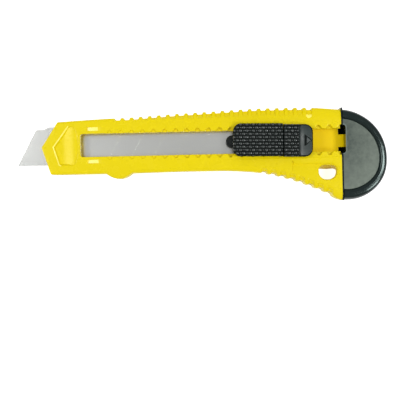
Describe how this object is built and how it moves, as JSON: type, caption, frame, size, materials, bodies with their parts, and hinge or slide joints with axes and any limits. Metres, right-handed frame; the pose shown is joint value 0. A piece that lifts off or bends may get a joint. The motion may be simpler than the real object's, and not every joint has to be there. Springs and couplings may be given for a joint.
{
  "type": "utility knife",
  "caption": "Snap-off blade utility knife: one-piece ribbed handle with a toothed window, sliding blade carrier with thumb plate and lock, and a round end cap.",
  "frame": {"origin": "on the flat back face of the handle, under the middle of the two rows of teeth and halfway along the handle", "axes": "+X from the blade to the end cap, +Y towards the straight ribbed edge, +Z out of the face that carries the slider"},
  "size_m": [0.1734, 0.0437, 0.0152],
  "materials": {
    "yellow_plastic": "glossy moulded plastic, opaque yellow",
    "black_plastic": "semi-gloss moulded plastic, slightly green black",
    "cap_plastic": "semi-gloss rim with a satin face, slate black moulded plastic",
    "blade_steel": "bright rolled carbon steel, ground along the cutting edge"
  },
  "bodies": {
    "handle": {"handle_body": "yellow_plastic"},
    "carriage": {"blade_carrier": "black_plastic", "blade": "blade_steel", "thumb_plate": "black_plastic"},
    "lock": {"lock_slide": "black_plastic"},
    "cap": {"end_cap": "cap_plastic"}
  },
  "joints": [
    {"name": "blade_slide", "type": "slide", "parent": "handle", "child": "carriage", "axis": [-1, 0, 0], "range_m": [-0.01533, 0.06643]},
    {"name": "lock_release", "type": "slide", "parent": "carriage", "child": "lock", "axis": [1, 0, 0], "range_m": [0, 0.002]},
    {"name": "cap_pull", "type": "slide", "parent": "handle", "child": "cap", "axis": [1, 0, 0], "range_m": [0, 0.025]}
  ]
}
